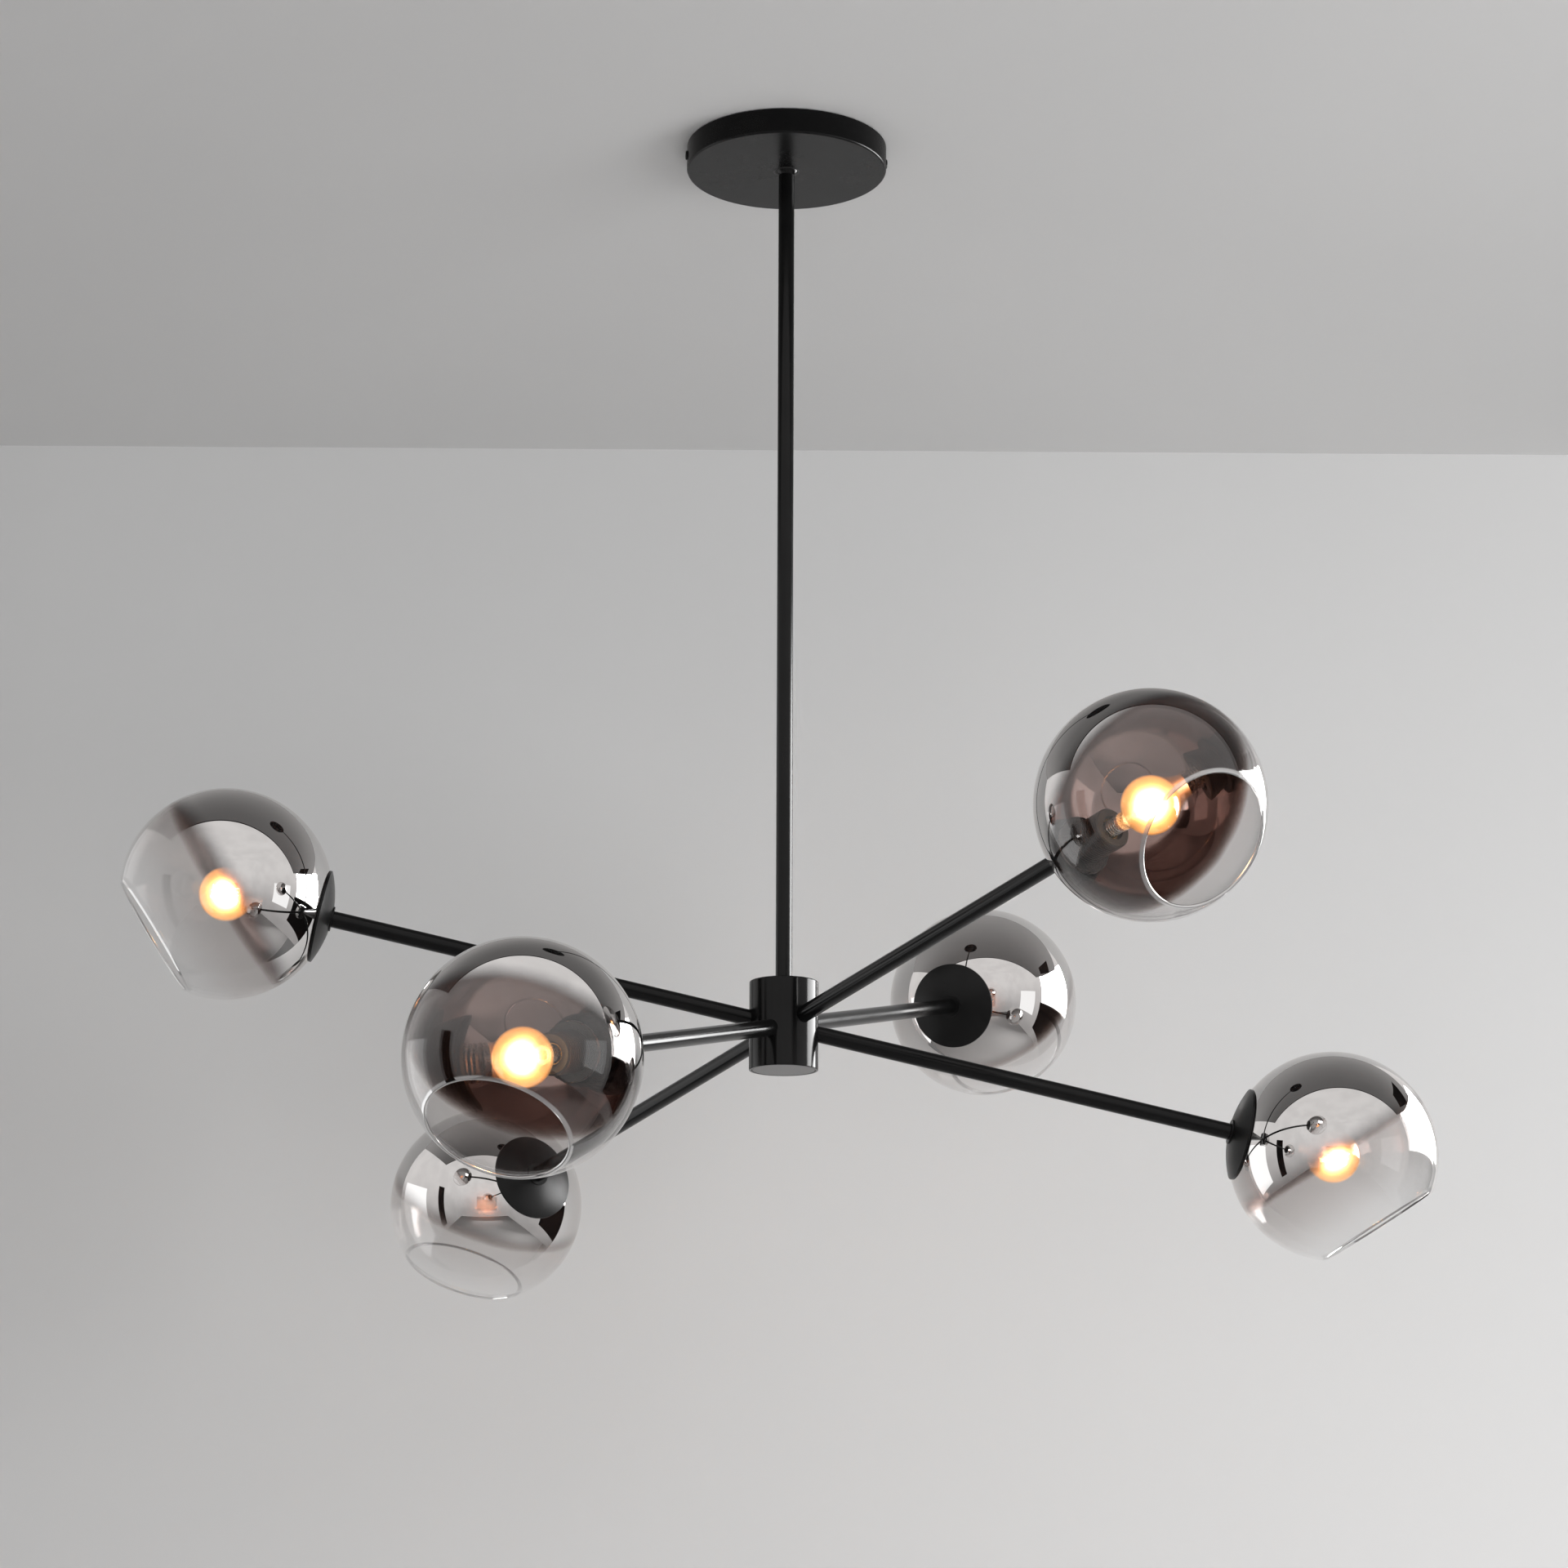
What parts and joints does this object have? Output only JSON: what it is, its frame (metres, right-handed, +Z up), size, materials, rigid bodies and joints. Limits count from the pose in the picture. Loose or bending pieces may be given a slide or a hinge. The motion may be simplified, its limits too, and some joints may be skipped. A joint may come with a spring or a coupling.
{
  "type": "multi arm chandelier",
  "caption": "Ceiling chandelier on a rigid stem: tilted arms spread from a hub, alternating up and down, each with a mirrored glass globe cut open at a slant.",
  "frame": {"origin": "middle of the ceiling crossbar's top face, on the ceiling plane", "axes": "+Z up into the ceiling; +X along the crossbar and out over arm 1"},
  "size_m": [0.9571, 0.8494, 0.8428],
  "materials": {
    "black_paint": "satin black powder coat",
    "mirror_glass": "clear glass with a vapour silver coating that fades to clear at the mouth",
    "bulb_glass": "clear",
    "nickel": "bright nickel plate",
    "filament": "glowing filament on a glass pinch",
    "phenolic": "moulded, threaded skirt",
    "brass": "plain",
    "zinc_steel": "zinc plate",
    "nylon": "moulded",
    "green_steel": "green ground screw",
    "wire_jacket": "insulated fixture wire"
  },
  "bodies": {
    "ceiling": {"crossbar": "zinc_steel", "ground_screw": "green_steel", "canopy": "black_paint", "canopy_screws": "black_paint"},
    "seat": {"ball_seat": "nylon"},
    "frame": {"swivel_ball": "black_paint", "stem_upper": "black_paint", "stem_lower": "black_paint", "hub": "black_paint", "hub_cap": "black_paint", "stem_nut": "zinc_steel", "arm_nuts": "zinc_steel", "stem_nipples": "zinc_steel", "arm_nipples": "zinc_steel", "stem_wires": "wire_jacket", "arm_wires": "wire_jacket", "splice_crimps": "zinc_steel", "screw_shells": "brass", "socket_contacts": "brass", "filaments": "filament", "shade_rings": "phenolic", "arm_1": "black_paint", "shade_cup_1": "black_paint", "lampholder_1": "phenolic", "bulb_glass_1": "bulb_glass", "bulb_base_1": "nickel", "arm_2": "black_paint", "shade_cup_2": "black_paint", "lampholder_2": "phenolic", "bulb_glass_2": "bulb_glass", "bulb_base_2": "nickel", "arm_3": "black_paint", "shade_cup_3": "black_paint", "lampholder_3": "phenolic", "bulb_glass_3": "bulb_glass", "bulb_base_3": "nickel", "arm_4": "black_paint", "shade_cup_4": "black_paint", "lampholder_4": "phenolic", "bulb_glass_4": "bulb_glass", "bulb_base_4": "nickel", "arm_5": "black_paint", "shade_cup_5": "black_paint", "lampholder_5": "phenolic", "bulb_glass_5": "bulb_glass", "bulb_base_5": "nickel", "arm_6": "black_paint", "shade_cup_6": "black_paint", "lampholder_6": "phenolic", "bulb_glass_6": "bulb_glass", "bulb_base_6": "nickel"},
    "shade_1": {"shade_glass_1": "mirror_glass"},
    "shade_2": {"shade_glass_2": "mirror_glass"},
    "shade_3": {"shade_glass_3": "mirror_glass"},
    "shade_4": {"shade_glass_4": "mirror_glass"},
    "shade_5": {"shade_glass_5": "mirror_glass"},
    "shade_6": {"shade_glass_6": "mirror_glass"}
  },
  "joints": [
    {"name": "seat_turn", "type": "hinge", "parent": "ceiling", "child": "seat", "pos_m": [0, 0, -0.0141], "axis": [0, 0, 1], "range_deg": [-170, 170]},
    {"name": "stem_tilt", "type": "hinge", "parent": "seat", "child": "frame", "pos_m": [0, 0, -0.0141], "axis": [1, 0, 0], "range_deg": [-20, 20]},
    {"name": "shade_1_turn", "type": "hinge", "parent": "frame", "child": "shade_1", "pos_m": [0.4027, 0, -0.76707], "axis": [0.9774, 0, -0.2113], "continuous": true},
    {"name": "shade_2_turn", "type": "hinge", "parent": "frame", "child": "shade_2", "pos_m": [0.20135, 0.34874, -0.59293], "axis": [0.4887, 0.8465, 0.2113], "continuous": true},
    {"name": "shade_3_turn", "type": "hinge", "parent": "frame", "child": "shade_3", "pos_m": [-0.20135, 0.34874, -0.76707], "axis": [-0.4887, 0.8465, -0.2113], "continuous": true},
    {"name": "shade_4_turn", "type": "hinge", "parent": "frame", "child": "shade_4", "pos_m": [-0.4027, 0, -0.59293], "axis": [-0.9774, 0, 0.2113], "continuous": true},
    {"name": "shade_5_turn", "type": "hinge", "parent": "frame", "child": "shade_5", "pos_m": [-0.20135, -0.34874, -0.76707], "axis": [-0.4887, -0.8465, -0.2113], "continuous": true},
    {"name": "shade_6_turn", "type": "hinge", "parent": "frame", "child": "shade_6", "pos_m": [0.20135, -0.34874, -0.59293], "axis": [0.4887, -0.8465, 0.2113], "continuous": true}
  ]
}
